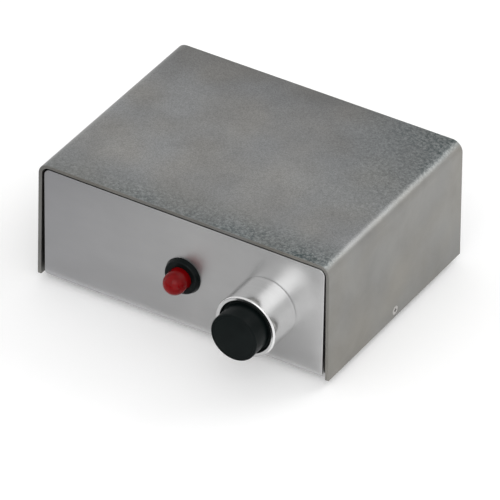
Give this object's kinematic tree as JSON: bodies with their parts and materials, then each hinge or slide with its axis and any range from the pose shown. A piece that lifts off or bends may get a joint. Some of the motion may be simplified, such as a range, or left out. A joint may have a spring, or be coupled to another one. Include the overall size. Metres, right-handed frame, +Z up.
{
  "type": "variac autotransformer",
  "caption": "Small bench variable autotransformer in a bare sheet-metal case, with a knob in a bright collar, a red pilot lamp, and mains inlet, outlet, fuse and switch behind.",
  "frame": {"origin": "under the middle of the whole object, on the surface the four feet stand on", "axes": "+Z up, +Y from the front panel to the rear panel along the knob shaft, +X to the right seen from the front"},
  "size_m": [0.167, 0.168, 0.0699],
  "materials": {
    "cover_metal": "bare sheet with a fine mottled mill surface",
    "panel_metal": "satin bare sheet",
    "zinc_steel": "bright zinc-plated fasteners and steel shaft",
    "chrome": "polished turned collar",
    "black_knob": "black knob moulding",
    "gloss_black": "glossy black moulding",
    "red_lens": "translucent red lens",
    "glass": "clear glass",
    "brass": "turned or pressed brass",
    "cast_alloy": "die-cast alloy",
    "fibre": "vulcanised fibre and phenolic",
    "core_steel": "strip-wound silicon steel",
    "copper_winding": null,
    "carbon": "carbon brush",
    "white_plastic": "natural nylon",
    "brown_wire": "brown PVC insulation",
    "blue_wire": "blue PVC insulation",
    "earth_wire": "green and yellow PVC insulation",
    "lead_sleeve": "sleeved leads",
    "black_rubber": "moulded rubber",
    "resistor_body": "lacquered resistor"
  },
  "bodies": {
    "case": {"cover": "cover_metal", "chassis": "panel_metal", "flat_screws": "zinc_steel", "pan_screws": "zinc_steel", "nuts": "zinc_steel", "fixing_screws": "zinc_steel", "screw_blocks": "cast_alloy", "rubber_feet": "black_rubber", "knob_collar": "chrome", "shaft_bushes": "brass", "variac_base": "cast_alloy", "base_washer": "fibre", "toroid_core": "core_steel", "core_insulators": "fibre", "winding": "copper_winding", "stop_washer": "zinc_steel", "clamp_nut": "brass", "collector_wiper": "brass", "wiper_pad": "fibre", "lamp_bezel": "gloss_black", "lamp_lens": "red_lens", "neon_bulb": "glass", "lamp_nut": "gloss_black", "lamp_resistor": "resistor_body", "mains_inlet": "gloss_black", "inlet_blades": "zinc_steel", "mains_outlet": "gloss_black", "outlet_contacts": "brass", "fuse_holder": "gloss_black", "fuse_holder_nut": "gloss_black", "switch_housing": "gloss_black", "spade_tabs": "brass", "terminal_block": "white_plastic", "terminal_clamps": "brass", "terminal_screws": "zinc_steel", "earth_stud": "zinc_steel", "earth_nuts": "zinc_steel", "earth_lugs": "brass", "live_wires": "brown_wire", "neutral_wires": "blue_wire", "earth_wires": "earth_wire", "winding_leads": "lead_sleeve", "lamp_leads": "lead_sleeve"},
    "rotor": {"knob_body": "black_knob", "knob_cap": "black_knob", "knob_collet": "brass", "knob_collet_nut": "brass", "shaft": "zinc_steel", "rotor_hub": "gloss_black", "rotor_set_screw": "zinc_steel", "brush_arm": "cast_alloy", "brush_holder": "brass", "brush_cap": "brass", "collector_ring": "brass", "brush_spring": "zinc_steel"},
    "brush": {"carbon_brush": "carbon"},
    "fuse_drawer": {"fuse_carrier": "brass", "fuse_link": "glass"},
    "fuse_grip": {"fuse_cap": "gloss_black"},
    "rocker": {"switch_rocker": "gloss_black"}
  },
  "joints": [
    {"name": "knob_turn", "type": "hinge", "parent": "case", "child": "rotor", "pos_m": [0.0479, -0.078, 0.034], "axis": [0, 1, 0], "range_deg": [0, 320]},
    {"name": "brush_lift", "type": "slide", "parent": "rotor", "child": "brush", "axis": [0, 1, 0], "range_m": [0, 0.0015], "stiffness_N_per_m": 80, "springref_m": -0.004, "deforming": ["brush_spring"]},
    {"name": "fuse_pull", "type": "slide", "parent": "case", "child": "fuse_drawer", "axis": [0, 1, 0], "range_m": [0, 0.03]},
    {"name": "fuse_cap_turn", "type": "hinge", "parent": "fuse_drawer", "child": "fuse_grip", "pos_m": [-0.014, 0.077, 0.034], "axis": [0, -1, 0], "range_deg": [0, 90]},
    {"name": "power_rocker", "type": "hinge", "parent": "case", "child": "rocker", "pos_m": [0.014, 0.071, 0.034], "axis": [1, 0, 0], "range_deg": [0, 18]}
  ]
}
